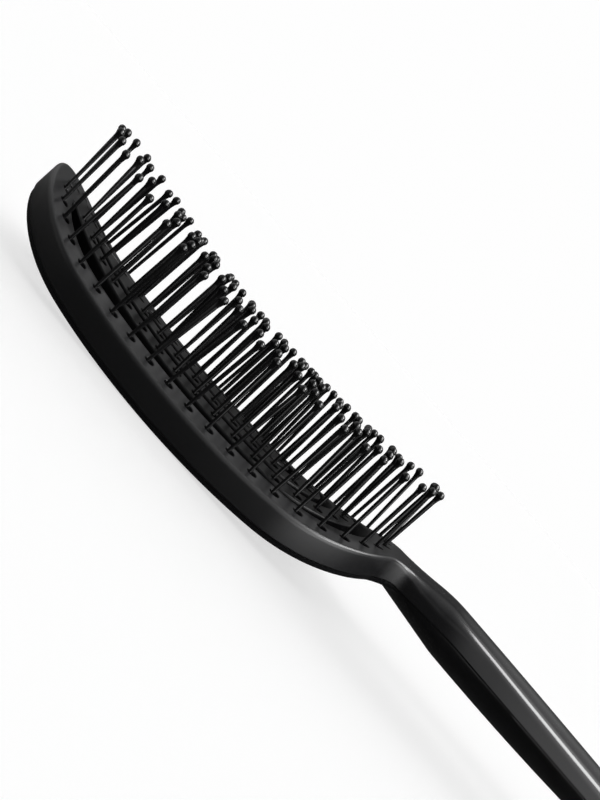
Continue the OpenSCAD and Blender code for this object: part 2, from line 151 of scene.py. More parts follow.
# The side arc touches both end arcs, and its size follows from the head's length and width. The
# ribs' sides are arcs about one centre on the other side of the middle line.
endX = head["half"] - head["endRadius"]
widthGain = head["halfWidth"] - head["endRadius"]
sideRadius = (endX**2 + head["halfWidth"] ** 2 - head["endRadius"] ** 2) / (2 * widthGain)
sideY = sideRadius - head["halfWidth"]
endAngle = angleOf((endX, sideY))
outerHalf = head["halfWidth"] - head["ringWidth"] - head["ringVent"]
outerReach = head["half"] - head["ringWidth"] - head["ringVentEnd"]
innerHalf = outerHalf - head["rib"] - head["vent"]
innerReach = outerReach - head["rib"] - head["ventEnd"]
spineHalf = innerHalf - head["rib"] - head["vent"]
spineReach = innerReach - head["rib"] - head["ventEnd"]
ribAxisY = head["ribSide"] - outerHalf


def headRun(inset, start=0.0, end=180.0, turn=1.0):
    # upper half of the head's outline moved in by an inset: tip arc, side arc, neck arc
    return chain(
        arcRun((endX, 0), head["endRadius"] - inset, start, endAngle, turn),
        arcRun((0, -sideY), sideRadius - inset, endAngle, 180 - endAngle, turn),
        arcRun((-endX, 0), head["endRadius"] - inset, 180 - endAngle, end, turn),
    )


def ribRun(halfWidth, reach, start, turn=1.0):
    # upper half of a rib's edge: its side arc from a direction about the ribs' centre, a straight
    # stretch and a quarter circle round its neck end
    straight = reach - halfWidth
    return chain(
        arcRun((0, -ribAxisY), ribAxisY + halfWidth, start, 90, turn),
        straightRun((0, halfWidth), (-straight, halfWidth), (0, turn)),
        arcRun((-straight, 0), halfWidth, 90, 180, turn),
    )


def openingLoop(outer, cap, inner):
    # out along the far edge, round the tip and back along the near edge
    return mirrored(chain((outer[0][::-1], outer[1][::-1]), cap, inner))


def ringVentLoop():
    # the opening inside the ring; its tip's centre is where a circle inside the ring's edge
    # crosses one outside the outer rib's side
    tip = head["ringTipRadius"]
    ring, rib = np.array([endX, 0.0]), np.array([0.0, -ribAxisY])
    ringRadius = head["endRadius"] - head["ringWidth"] - tip
    ribRadius = head["ribSide"] + tip
    apart = np.linalg.norm(rib - ring)
    way = (rib - ring) / apart
    along = (ringRadius**2 - ribRadius**2 + apart**2) / (2 * apart)
    off = math.sqrt(ringRadius**2 - along**2)
    centre = ring + along * way + off * np.array([-way[1], way[0]])
    outerAngle, innerAngle = angleOf(centre - ring), angleOf(centre - rib)
    return openingLoop(
        headRun(head["ringWidth"], outerAngle, 180, -1.0),
        arcRun(centre, tip, outerAngle, innerAngle - 180, -1.0, fine["ringTip"]),
        ribRun(outerHalf, outerReach, innerAngle),
    )


def ribVentLoop(halfWidth, outerEnd, innerEnd, web):
    # the opening between two ribs; its tip is as round as it is wide
    tip = head["vent"] / 2
    radius, y = ribAxisY + halfWidth + tip, web + tip
    centre = np.array([math.sqrt(radius**2 - (y + ribAxisY) ** 2), y])
    angle = angleOf(centre + [0.0, ribAxisY])
    return openingLoop(
        ribRun(halfWidth + head["vent"], outerEnd, angle, -1.0),
        arcRun(centre, tip, angle, angle - 180, -1.0, fine["ventTip"]),
        ribRun(halfWidth, innerEnd, angle),
    )


handle = {
    "end": -176.0,
    "halfWidth": 11.5,  # at its widest, which is at swellX
    "swellX": -125.5,
    "swellRadius": 635.13,
    "neckFillet": 7.0,
    "filletY": 15.45,
    "faceX": -44.0,  # the neck's shapes begin past this x
    "neckSlope": (-57.0, 7.22, 0.1863),  # x, height and rise of the neck's top
    "top": 10.57,  # height of the top line, at its peak
    "peak": -75.0,
    "topCurve": 3189.0,
    "crownRadius": 21.6,  # across, level past a half width; so is the belly
    "crownHalf": 15.0,
    "crownSpan": (-76.0, -57.0),  # the round crown fades out from the handle to the face
    "parting": (-60.0, 2.3, 0.0857, 4.01),  # x, height and rise at the neck, and level beyond
    "belly": (-92.17, -2.22, 1416.0, 13.0),  # lowest point, twice its radius along, and across
    "bellyHalf": 12.7,
    "neckKeel": (-80.0, -2.115, 0.1035),  # x, height and rise of the keel under the neck
    "faceBlend": 0.9,  # roundings where two heights meet
    "neckBlend": 0.7,
    "partingBlend": 0.3,
    "skirtBlend": 0.5,
    "bellyBlend": 0.8,
    "holeInset": 10.0,
    "holeRadius": 3.5,
    "holePoints": 48,
}
swellCentre = np.array([handle["swellX"], handle["halfWidth"] - handle["swellRadius"]])


def brushOutline(inset):
    # head, neck fillets, the handle's long swell and its round end, which touches the swell
    fillet, swell = handle["neckFillet"], handle["swellRadius"]
    reach = head["endRadius"] + fillet
    neck = np.array([-endX - math.sqrt(reach**2 - handle["filletY"] ** 2), handle["filletY"]])
    headTurn = angleOf(neck + [endX, 0.0])
    swellTurn = angleOf(neck - swellCentre)
    far = handle["end"] - handle["swellX"]
    endRadius = (swell**2 - far**2 - swellCentre[1] ** 2) / (2 * far + 2 * swell)
    end = np.array([handle["end"] + endRadius, 0.0])
    endTurn = angleOf(end - swellCentre)
    half = chain(
        headRun(inset, 0.0, headTurn),
        arcRun(neck, fillet + inset, headTurn - 180, swellTurn - 180, -1.0, fine["fillet"]),
        arcRun(swellCentre, swell - inset, swellTurn, endTurn, 1.0, fine["swell"]),
        arcRun(end, endRadius - inset, endTurn, 180, 1.0, fine["handleEnd"]),
    )
    return mirrored(half)


hangCentre = (handle["end"] + handle["holeInset"], 0.0)
openings = [
    ringVentLoop(),
    ribVentLoop(innerHalf, outerReach - head["rib"], innerReach, head["midWeb"]),
    ribVentLoop(spineHalf, innerReach - head["rib"], spineReach, head["spineWeb"]),
    circleLoop(hangCentre, handle["holeRadius"], handle["holePoints"]),
]

backPlate = {
    "inset": 0.4,  # its outline, in from the front frame's
    "seam": 0.1,  # gap under the front frame
    "depth": 7.5,  # of its underside below the face
    "thinnest": 0.35,
    "side": (0.38, 1.3),  # a ring this share down its wall, or down this much of a deep one
    "edge": ((0.08, 0.3), (0.28, 0.05), (0.6, 0.0)),  # rounding: inset and rise of each ring
    "ventEdge": ((0.0, 0.3), (0.09, 0.08), (0.3, 0.0)),
    "smooth": 29.0,
}


# Heights over the plan, each a function of x and y
def layer(x, y, depth):
    # a depth below the face, which is a circle across, carried along a crown whose bend grows
    # towards both ends
    x = np.maximum(x, head["bendEnd"])
    c4, c6 = (np.where(x > 0, tip, neck) for tip, neck in zip(head["tipBend"], head["neckBend"]))
    crown = x**2 / (2 * head["midCurve"]) + c4 * x**4 + c6 * x**6
    slope = x / head["midCurve"] + 4 * c4 * x**3 + 6 * c6 * x**5
    radius = head["domeRadius"] + crown - depth * np.sqrt(1 + slope**2)
    return np.sqrt(radius**2 - y**2) - head["domeRadius"]


def frontTop(x, y):
    # the face, run into the neck's slope, then the handle's long curve less its round crown
    startX, startZ, slope = handle["neckSlope"]
    ramp = startZ + slope * (startX - np.minimum(x, handle["faceX"]))
    along = handle["top"] - (x - handle["peak"]) ** 2 / (2 * handle["topCurve"])
    crown = dip(y, handle["crownRadius"], handle["crownHalf"])
    crown = crown * (1 - smoothStep(x, *handle["crownSpan"]))
    neck = softMin(ramp, along, handle["neckBlend"]) - crown
    face = layer(x, y, 0.0)
    return np.where(x < handle["faceX"], softMin(face, neck, handle["faceBlend"]), face)


def frontLow(x, y):
    # the skirt's edge under the head, run into the handle's parting line
    startX, startZ, slope, level = handle["parting"]
    parting = softMin(startZ + slope * (startX - x), level, handle["partingBlend"])
    skirt = layer(x, y, head["skirt"])
    return np.where(x < handle["faceX"], softMin(skirt, parting, handle["skirtBlend"]), skirt)


def backTop(x, y):
    # a seam below the front frame
    return frontLow(x, y) - backPlate["seam"]


def backLow(x, y):
    # the head's thin plate, run into the handle's round belly
    lowX, lowZ, curve, radius = handle["belly"]
    neckX, neckZ, slope = handle["neckKeel"]
    keel = np.where(x < neckX, lowZ + (x - lowX) ** 2 / curve, neckZ + slope * (x - neckX))
    belly = keel + dip(y, radius, handle["bellyHalf"])
    low = softMin(layer(x, y, backPlate["depth"]), belly, handle["bellyBlend"])
    return np.minimum(low, backTop(x, y) - backPlate["thinnest"])


def plateSide(x, y):
    # a share of the way down the plate's wall, or down the top of it where the wall is deep
    share, most = backPlate["side"]
    top = backTop(x, y)
    return (1 - share) * top + share * np.maximum(backLow(x, y), top - most)


def layerAt(depth):
    # this and the next two make a height function from a size
    return lambda x, y: layer(x, y, depth)


def below(height, drop):
    return lambda x, y: height(x, y) - drop


def above(height, rise):
    return lambda x, y: height(x, y) + rise


def inParts(points, size=500):
    # a long array cut up, so that what is worked out from it stays small
    return np.array_split(points, max(1, len(points) // size))


def insideLoops(points, flat, loops):
    # even-odd count of the edges that a line to the right of each point crosses
    start = np.concatenate([flat[loop] for loop in loops])
    end = np.concatenate([flat[np.roll(loop, -1)] for loop in loops])
    run, rise = (end - start).T
    rise = np.where(rise == 0, 1.0, rise)
    odd = []
    for part in inParts(points):
        x, y = part[:, :1], part[:, 1:]
        spans = (start[:, 1] > y) != (end[:, 1] > y)
        cross = start[:, 0] + (y - start[:, 1]) * run / rise
        odd.append((spans & (cross > x)).sum(1) % 2 == 1)
    return np.concatenate(odd)


def newObject(name, data):
    # an object in the scene, at the origin
    thing = bpy.data.objects.new(name, data)
    bpy.context.scene.collection.objects.link(thing)
    return thing


class Shell:
    # a closed mesh gathered from rings of points round its edges and fills between them
    def __init__(self):
        self.points, self.normals, self.faces, self.count = [], [], [], 0

    def add(self, xy, z):
        # new points, with no normal of their own yet
        self.points.append(np.column_stack([xy, z]))
        self.normals.append(np.zeros((len(xy), 3)))
        ids = np.arange(self.count, self.count + len(xy))
        self.count += len(xy)
        return ids

    def wall(self, rings):
        # quads between neighbouring rings of one closed edge
        for a, b in zip(rings[:-1], rings[1:]):
            quads = np.stack([a, np.roll(a, -1), np.roll(b, -1), b], 1)
            self.faces.extend(quads.tolist())

    def cap(self, ring, xy, z):
        # triangles from a ring to one point
        tip = np.full(len(ring), self.add(xy, z)[0])
        self.faces.extend(np.stack([ring, np.roll(ring, -1), tip], 1).tolist())

    def edge(self, loop, profile):
        # a loop carried down its profile, ring by ring: an inset into the plastic, and a height
        # that is a function or a value for each point
        points, normals = loop
        rings = []
        for inset, height in profile:
            xy = points - normals * np.reshape(inset, (-1, 1))
            rings.append(self.add(xy, height(xy[:, 0], xy[:, 1]) if callable(height) else height))
        self.wall(rings)
        return rings[0], rings[-1]

    def edges(self, loops, profile):
        # the first rings of all the loops, and their last rings
        ends = [self.edge(loop, profile) for loop in loops]
        return [first for first, _ in ends], [last for _, last in ends]

    def slopes(self, ids, height, up, reach=0.05):
        # exact normals from the slopes of the height, so that gloss runs evenly over the triangles
        points, normals = np.concatenate(self.points), np.concatenate(self.normals)
        x, y = points[ids, 0], points[ids, 1]
        dx = (height(x + reach, y) - height(x - reach, y)) / (2 * reach)
        dy = (height(x, y + reach) - height(x, y - reach)) / (2 * reach)
        n = np.stack([-dx, -dy, np.ones_like(dx)], 1) * up
        normals[ids] = n / np.linalg.norm(n, axis=1)[:, None]
        self.points, self.normals = [points], [normals]

    def fill(self, loops, height, spacing, up=0):
        # triangles between loops, over an even grid of inner points kept clear of the edges; up is
        # 1 or -1 for a top or an underside that shows its gloss
        rowShare, clearShare = 0.866, 0.55  # of the spacing: between rows, and off the edges
        tolerance = 1e-6
        flat = np.concatenate(self.points)[:, :2]
        ids = np.concatenate(loops)
        rim = flat[ids]
        edges = []
        for loop in loops:
            index = np.arange(len(loop))
            edges += (len(edges) + np.stack([index, np.roll(index, -1)], 1)).tolist()
        low, high = rim.min(0), rim.max(0)
        rows = np.arange(low[1], high[1], spacing * rowShare)
        gx, gy = np.meshgrid(np.arange(low[0], high[0], spacing), rows)
        gx = gx + (np.arange(len(rows)) % 2)[:, None] * spacing / 2
        grid = np.column_stack([gx.ravel(), gy.ravel()])
        near = [((part[:, None] - rim[None]) ** 2).sum(2).min(1) for part in inParts(grid)]
        grid = grid[np.concatenate(near) > (clearShare * spacing) ** 2]
        given = [Vector(p) for p in np.concatenate([rim, grid])]
        flatOut, _, triangles, sources, *_ = delaunay_2d_cdt(given, edges, [], 0, tolerance, True)
        flatOut, triangles = np.array([p[:] for p in flatOut]), np.array(triangles)
        triangles = triangles[insideLoops(flatOut[triangles].mean(1), flat, loops)]
        # each corner is a loop's own point or a new one
        source = np.array([s[0] if s else len(given) for s in sources])
        onRim = source < len(rim)
        used = np.unique(triangles)
        extra = used[~onRim[used]]
        final = np.zeros(len(source), int)
        final[onRim] = ids[source[onRim]]
        final[extra] = self.add(flatOut[extra], height(*flatOut[extra].T))
        self.faces.extend(final[triangles].tolist())
        if up:
            self.slopes(np.concatenate([ids, final[extra]]), height, up)

    def build(self, name, smooth):
        # the mesh in metres, faces outwards, sharp where it turns more than so many degrees
        mesh = bpy.data.meshes.new(name)
        mesh.from_pydata(metres(np.concatenate(self.points)).tolist(), [], self.faces)
        work = bmesh.new()
        work.from_mesh(mesh)
        bmesh.ops.recalc_face_normals(work, faces=work.faces)
        openEdges = sum(not e.is_manifold for e in work.edges)
        work.to_mesh(mesh)
        work.free()
        mesh.shade_smooth()
        mesh.set_sharp_from_angle(angle=math.radians(smooth))
        normals = np.concatenate(self.normals)
        if normals.any():
            corners = np.zeros(len(mesh.loops), int)
            mesh.loops.foreach_get("vertex_index", corners)
            mesh.normals_split_custom_set(normals[corners].tolist())
        print(f"{name}: {len(mesh.polygons)} faces, {openEdges} open edges")
        return newObject(name, mesh)


# Rows of pins, and the bands of the channels and strips that follow them
pins = {
    "pitch": 6.4,
    "outerRow": (20.145, 43.945, 46.22),  # middle line's half width and reach, first pin's x
    "innerRow": (11.235, 34.135, 32.93),
    "spineHalf": 25.18,  # half the length of the middle row
    "spineCount": 9,
    "holeRadius": 1.35,  # of the clearance holes in the face
    "holeShift": 0.5,  # the holes' middles lie this far to the handle's side of the pins
    "holeBevel": 0.16,
    "holePoints": 20,
    "channelWidth": 3.8,
    "channelDepth": 2.0,  # of its ceiling below the face
    "channelPoints": 60,
    "stripWidth": 3.4,
    "stripTop": 2.1,  # depths below the face
    "stripBottom": 3.8,
    "stripPoints": 50,
    "middleGap": 0.6,  # half of the gap between the two sides' strips
    "rimGap": 1.3,  # the same on the rim, in degrees about the end arcs
    "shaft": 0.43,
    "neck": 0.7875,  # where the taper meets the ball
    "ball": 1.025,
    "ballRings": 11,
    "foot": ((1.4, 0.0), (1.1, 0.5), (1.0, 1.4)),  # share of the shaft, and height
    "footDepth": 2.4,
    "taper": 1.5,  # its length; it starts at a share of the shaft
    "taperStart": 1.3,
    "taperPower": 1.6,
    "taperRings": 3,
    "sides": 12,
    "tipRise": 19.4,  # of the tips at the middle; radii along and across
    "tipCurve": 300.0,
    "tipDome": 366.0,
    "seed": 7,
    "lean": 0.03,  # spread of the lean at the tips, as a share of the length
    "bendPower": 1.5,  # how it grows from the foot
    "handleLean": 0.05,  # pins by the handle lean this much to the tip, less over a span of x
    "handleSpan": (-18.0, 4.0),
    "tipLean": 0.07,  # and so do those by the tip
    "tipSpan": (38.0, 52.0),
    "smooth": 50.0,
}


def rowLine(halfWidth, reach, start):
    # middle line of a rib, from its first pin near the tip to the neck end
    first = math.degrees(math.acos(start / (ribAxisY + halfWidth)))
    return ribRun(halfWidth, reach, first)[0]


def spineLine(count):
    # evenly spaced points along the middle line
    return np.column_stack([np.linspace(-1, 1, count) * pins["spineHalf"], np.zeros(count)])


def evenly(line, lead):
    # pins about a pitch apart along a line: the first one a lead, as a share of the gap, from its
    # start, and the last one half a gap from its end, where the other side's row begins
    steps = np.linalg.norm(np.diff(line, axis=0), axis=1)
    along = np.concatenate([[0.0], np.cumsum(steps)])
    count = round(along[-1] / pins["pitch"] + 0.5 - lead)
    distances = (np.arange(count) + lead) * along[-1] / (count - 0.5 + lead)
    return np.stack([np.interp(distances, along, line[:, i]) for i in (0, 1)], 1)


rows = {  # the leans are drawn in this order
    "rim_pins_left": evenly(headRun(head["rimInset"])[0], 0.5),
    "outer_rib_pins_left": evenly(rowLine(*pins["outerRow"]), 0.0),
    "inner_rib_pins_left": evenly(rowLine(*pins["innerRow"]), 0.0),
    "spine_pins": spineLine(pins["spineCount"]),
}
for part in ("rim", "outer_rib", "inner_rib"):
    rows[f"{part}_pins_right"] = rows[f"{part}_pins_left"] * flipY
pinPlaces = np.concatenate(list(rows.values()))
print("pins:", len(pinPlaces))


def bandLoop(line, width):
    # closed edge of a band along an open line, round at both ends, normals into the band
    half = width / 2
    run = np.diff(line, axis=0)
    run /= np.linalg.norm(run, axis=1)[:, None]
    tangent = np.concatenate([run[:1], (run[1:] + run[:-1]) / 2, run[-1:]])
    tangent /= np.linalg.norm(tangent, axis=1)[:, None]
    side = np.column_stack([-tangent[:, 1], tangent[:, 0]])
    first, last = angleOf(side[0]), angleOf(side[-1])
    startCap = arcRun(line[0], half, first + 180, first, 1.0, fine["bandEnd"])[0][1:-1]
    endCap = arcRun(line[-1], half, last, last - 180, 1.0, fine["bandEnd"])[0][1:-1]
    points = np.concatenate([line + half * side, endCap, (line - half * side)[::-1], startCap])
    middle = np.concatenate([line, line[-1] + 0 * endCap, line[::-1], line[0] + 0 * startCap])
    return points, (middle - points) / half


def channelLoops():
    # a closed ring under the rim, a band round each rib and a straight one under the spine
    width, rim = pins["channelWidth"], head["rimInset"]
    ribs = [rowLine(*pins[row]) for row in ("outerRow", "innerRow")]
    bands = [np.concatenate([line, line[-2::-1] * flipY]) for line in ribs]
    bands.append(spineLine(pins["channelPoints"]))
    ring = [mirrored(headRun(rim - width / 2, turn=-1.0)), mirrored(headRun(rim + width / 2))]
    return ring + [bandLoop(line, width) for line in bands]


# Front frame: face, rounded rim, vents, clearance holes and the channels behind them
frontEdge = {
    "shoulder": 1.7,  # inset of the handle's shoulder line
    "round": 1.2,  # reach of the rounding, across and down
    "handleAcross": 0.9,  # and what the handle and the neck add to it
    "handleDown": 0.5,
    "neckMore": 1.8,
    "handleSpan": (-92.0, -58.0),  # the handle's share fades out towards the head
    "neckIn": (-84.0, -72.0),  # the neck's share fades in, and out again
    "neckOut": (-68.0, -60.0),
    "mostSide": 0.6,  # the rounding takes no more of the side
    "rings": 8,
    "foot": 0.2,  # bevel at the parting edge
    "aboveFoot": 0.03,  # ring over the bevel, this share of the way back to the rounding
    "soft": ((0.55, 0.0), (0.34, 0.03), (0.16, 0.16), (0.03, 0.34), (0.0, 0.55)),  # inset and drop
    "smooth": 29.0,
}


def outerProfile(loop):
    # from the crown to the side by a quadratic curve about the shoulder line, then straight down
    # to the parting edge: an inset and a height for each point of each ring
    points, normals = loop
    x, y = points.T
    onHandle = 1 - smoothStep(x, *frontEdge["handleSpan"])
    atNeck = smoothStep(x, *frontEdge["neckIn"]) * (1 - smoothStep(x, *frontEdge["neckOut"]))
    corner = frontEdge["shoulder"] * onHandle
    neckMore = frontEdge["neckMore"] * atNeck
    across = frontEdge["round"] + frontEdge["handleAcross"] * onHandle + neckMore
    down = frontEdge["round"] + frontEdge["handleDown"] * onHandle + neckMore

    def onCrown(inset):
        return np.stack([inset, frontTop(*(points - normals * inset[:, None]).T)])

    start, knee = onCrown(corner + across), onCrown(corner)
    low = frontLow(x, y)
    side = np.stack([0 * x, low]) - knee
    turn = knee + side * np.minimum(down / np.linalg.norm(side, axis=0), frontEdge["mostSide"])
    foot = np.stack([0 * x, low + frontEdge["foot"]])
    profile = [
        start * (1 - t) ** 2 + knee * 2 * t * (1 - t) + turn * t**2
        for t in np.linspace(0.0, 1.0, frontEdge["rings"])
    ]
    profile.append(turn * frontEdge["aboveFoot"] + foot * (1 - frontEdge["aboveFoot"]))
    profile.append((frontEdge["foot"], low))
    return profile


outline = brushOutline(0.0)
ceiling = layerAt(pins["channelDepth"])
softEdge = [(inset, below(frontTop, drop)) for inset, drop in frontEdge["soft"]]
softEdge += [(0.0, above(frontLow, frontEdge["foot"])), (frontEdge["foot"], frontLow)]
bevel = pins["holeBevel"]
holeEdge = [(bevel, frontTop), (0.0, below(frontTop, bevel)), (0.0, ceiling)]
holeCentres = pinPlaces - [pins["holeShift"], 0.0]
holes = [circleLoop(spot, pins["holeRadius"], pins["holePoints"]) for spot in holeCentres]
front = Shell()
outerTops, outerLows = front.edges([outline], outerProfile(outline))
ventTops, ventLows = front.edges(openings, softEdge)
holeTops, holeEnds = front.edges(holes, holeEdge)
channelLows, channelEnds = front.edges(channelLoops(), [(0.0, frontLow), (0.0, ceiling)])
front.fill(outerTops + ventTops + holeTops, frontTop, fine["gloss"], 1)
front.fill(outerLows + ventLows + channelLows, frontLow, fine["inside"])
front.fill(holeEnds + channelEnds, ceiling, fine["channel"])
frontPiece = front.build("frontFrame", frontEdge["smooth"])
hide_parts("front_frame")

# Back frame: a thin plate with the same openings, run into the belly of the handle
plateEdge = [(0.0, backTop), (0.0, plateSide)]
plateEdge += [(inset, above(backLow, rise)) for inset, rise in backPlate["edge"]]
ventEdge = [(0.0, backTop)] + [(inset, above(backLow, rise)) for inset, rise in backPlate["ventEdge"]]
back = Shell()
plateTops, plateLows = back.edges([brushOutline(backPlate["inset"])], plateEdge)
ventTops, ventLows = back.edges(openings, ventEdge)
back.fill(plateTops + ventTops, backTop, fine["inside"])
back.fill(plateLows + ventLows, backLow, fine["gloss"], -1)
backPiece = back.build("backFrame", backPlate["smooth"])
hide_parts("back_frame")


# Pins: a turned profile on every place of a row, leaning a little at random, and the strip that
# carries them, a flat section carried along the row between the channel's walls
def tipHeight(x, y):
    # the tips' own surface: hollow along the brush and round across it, each by a circle
    return pins["tipRise"] + dip(x, pins["tipCurve"]) - dip(y, pins["tipDome"])


def pinProfile(length):
    # radius and height up the pin: a flared foot, the shaft, a taper, then the ball to its top
    ball, neck, shaft = pins["ball"], pins["neck"], pins["shaft"]
    footShare, footRise = np.array(pins["foot"]).T
    t = np.linspace(0.0, 1.0, pins["taperRings"], endpoint=False)
    thin = shaft * pins["taperStart"]
    a = np.linspace(math.pi - math.asin(neck / ball), 0.0, pins["ballRings"])
    centre = length - ball
    bottom = centre + ball * math.cos(a[0])
    taper = thin + (neck - thin) * t ** pins["taperPower"]
    r = np.concatenate([shaft * footShare, taper, ball * np.sin(a)])
    z = np.concatenate([footRise, bottom - pins["taper"] * (1 - t), centre + ball * np.cos(a)])
    return r, z


def addPin(shell, spot, random):
    # the profile turned about the pin's line, which bends from its foot with a power of the height
    x, y = spot
    foot = float(layer(x, y, pins["footDepth"]))
    top = float(tipHeight(x, y))
    length = top - foot
    r, z = pinProfile(length)
    lean = random.normal(0.0, pins["lean"], 2)
    lean[0] += pins["handleLean"] * float(1 - smoothStep(x, *pins["handleSpan"]))
    lean[0] += pins["tipLean"] * float(smoothStep(x, *pins["tipSpan"]))
    bend = ((z / length) ** pins["bendPower"])[:, None] * lean * length
    ring = rays(np.linspace(0.0, 2 * math.pi, pins["sides"], endpoint=False))
    rings = [
        shell.add(spot + shift + radius * ring, np.full(len(ring), foot + height))
        for radius, height, shift in zip(r[:-1], z[:-1], bend[:-1])
    ]
    shell.wall(rings)
    shell.cap(rings[-1], spot + bend[-1:], [top])
    shell.cap(rings[0][::-1], spot[None], [foot])


def clearOfMiddle(line):
    # the part of a row's line that stays clear of the other side's strip
    return line[line[:, 1] >= pins["middleGap"]]


stripLines = {
    "rim_pins_left": headRun(head["rimInset"], pins["rimGap"], 180 - pins["rimGap"])[0],
    "outer_rib_pins_left": clearOfMiddle(rowLine(*pins["outerRow"])),
    "inner_rib_pins_left": clearOfMiddle(rowLine(*pins["innerRow"])),
    "spine_pins": spineLine(pins["stripPoints"]),
}
stripTop, stripBottom = layerAt(pins["stripTop"]), layerAt(pins["stripBottom"])
random = np.random.default_rng(pins["seed"])
pinPieces = []
for node, places in rows.items():
    line = stripLines[node.replace("right", "left")] * (flipY if "right" in node else 1.0)
    shell = Shell()
    under, over = shell.edge(bandLoop(line, pins["stripWidth"]), [(0.0, stripBottom), (0.0, stripTop)])
    shell.fill([over], stripTop, fine["channel"])
    shell.fill([under], stripBottom, fine["channel"])
    for spot in places:
        addPin(shell, spot, random)
    first, *others = node.split("_")
    piece = shell.build(first + "".join(word.title() for word in others), pins["smooth"])
    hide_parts(node)
    pinPieces.append(piece)


# Materials
class Wire:
    # one socket's output, so that sums and products of outputs and numbers add their own nodes
    def __init__(self, finish, socket):
        self.finish, self.socket = finish, socket

    def __add__(self, other):
        return self.finish.maths("ADD", self, other)

    def __mul__(self, other):
        return self.finish.maths("MULTIPLY", self, other)

    def __sub__(self, other):
        return self.finish.maths("SUBTRACT", self, other)

    def __rsub__(self, other):
        return self.finish.maths("SUBTRACT", other, self)

    __radd__ = __add__
    __rmul__ = __mul__


class Finish:
    # a material, or the world, under construction
    def __init__(self, name, kind="materials"):
        self.material = getattr(bpy.data, kind).new(name)
        self.material.use_nodes = True
        self.tree = self.material.node_tree
        self.tree.nodes.clear()

    def add(self, kind, settings=None, inputs=None):
        node = self.tree.nodes.new(kind)
        for key, value in (settings or {}).items():
            setattr(node, key, value)
        for key, value in (inputs or {}).items():
            if isinstance(value, Wire):
                self.tree.links.new(value.socket, node.inputs[key])
            else:
                node.inputs[key].default_value = value
        return node

    def wire(self, kind, output, settings=None, inputs=None):
        return Wire(self, self.add(kind, settings, inputs).outputs[output])

    def maths(self, operation, *values):
        return self.wire("ShaderNodeMath", 0, {"operation": operation}, dict(enumerate(values)))

    def vectors(self, operation, a, b):
        # a number from two vectors, such as their distance
        return self.wire("ShaderNodeVectorMath", "Value", {"operation": operation}, {0: a, 1: b})

    def split(self, vector):
        parts = self.add("ShaderNodeSeparateXYZ", None, {"Vector": vector})
        return [Wire(self, parts.outputs[axis]) for axis in "XYZ"]

    def noise(self, where, scale, detail):
        values = {"Vector": where, "Scale": scale, "Detail": detail}
        return self.wire("ShaderNodeTexNoise", "Fac", None, values)

    def ramp(self, value, low, high, start=0.0, end=1.0):
        # a smooth step between two values
        values = {"Value": value, "From Min": low, "From Max": high, "To Min": start, "To Max": end}
        return self.wire("ShaderNodeMapRange", "Result", {"interpolation_type": "SMOOTHSTEP"}, values)

    def blend(self, mask, dark, light):
        # a colour between two
        return self.wire("ShaderNodeMix", 2, {"data_type": "RGBA"}, {0: mask, 6: dark, 7: light})

    def plastic(self, color, rough, ior, **more):
        values = {"Base Color": color, "Roughness": rough, "IOR": ior, **more}
        return self.wire("ShaderNodeBsdfPrincipled", "BSDF", None, values)

    def glow(self, strength):
        return self.wire("ShaderNodeEmission", "Emission", None, {"Strength": strength})

    def mix(self, mask, first, second):
        # a shader between two
        return self.wire("ShaderNodeMixShader", "Shader", None, {0: mask, 1: first, 2: second})

    def close(self, shader, kind="ShaderNodeOutputMaterial"):
        self.add(kind, None, {"Surface": shader})
        return self.material


blackPlastic = {
    "color": (0.006, 0.006, 0.0065, 1.0),
    "lightColor": (0.0081, 0.0081, 0.008775, 1.0),  # where the moulding is a little cloudy
    "ior": 1.5,
    "faceRough": 0.32,
    "handleRough": 0.155,
    "roughSpread": 0.05,
    "neck": (-0.012, 0.001),  # metres along x, from the handle's gloss to the satin face
    "cloud": (55.0, 3.0),  # noise scale and detail
    "grain": (5200.0, 2.0),
    "cloudDepth": 0.02,
    "grainDepth": 0.25,
    "bumpReach": 0.0001,
    "satinBump": 0.06,
    "glossBump": 0.02,
    "ribColor": (0.003, 0.003, 0.0032, 1.0),  # painted shade: the ribs inside the ring are darker, and with the lower IOR below less glossy, where the dense pins' shade falls
    "ribIor": 1.22,
    "ribMiddle": 0.058,  # metres too
    "ribHalves": (0.052, 0.0265),
    "ribFade": (0.85, 1.1, 1.0, 0.0),
}


def framePlastic(name, satin):
    # moulded black plastic; the satin one is duller on the head, and its ribs inside the ring carry
    # painted shade: darker and less glossy
    look = blackPlastic
    f = Finish(name)
    where = f.wire("ShaderNodeTexCoord", "Object")
    along, across, _ = f.split(where)
    cloud, grain = f.noise(where, *look["cloud"]), f.noise(where, *look["grain"])
    color = f.blend(cloud, look["color"], look["lightColor"])
    rough = look["handleRough"] + (cloud - 0.5) * look["roughSpread"]
    if satin:
        rough = rough + f.ramp(along, *look["neck"]) * (look["faceRough"] - look["handleRough"])
    relief = {
        "Height": look["grainDepth"] * grain + look["cloudDepth"] * cloud,
        "Strength": look["satinBump"] if satin else look["glossBump"],
        "Distance": look["bumpReach"],
    }
    bump = f.wire("ShaderNodeBump", "Normal", None, relief)
    shader = f.plastic(color, rough, look["ior"], Normal=bump)
    # painted shade: over the ribs inside the ring a mask mixes in a darker, less glossy plastic, where
    # the dense pins' shade falls
    if satin:
        halfLength, halfWidth = look["ribHalves"]
        lengthwise = (along - look["ribMiddle"]) * (along - look["ribMiddle"]) * (1 / halfLength**2)
        crosswise = across * across * (1 / halfWidth**2)
        inside = f.ramp(lengthwise * lengthwise + crosswise * crosswise, *look["ribFade"])
        ribs = f.plastic(look["ribColor"], rough, look["ribIor"], Normal=bump)
        shader = f.mix(inside, shader, ribs)
    return f.close(shader)


pinNylon = {
    "color": (0.004, 0.004, 0.0042, 1.0),
    "wornColor": (0.007, 0.007, 0.0072, 1.0),
    "wear": (140.0, 2.0),  # noise scale and detail
    "ior": 1.52,
    "rough": 0.08,
    "wornRough": 0.06,
}


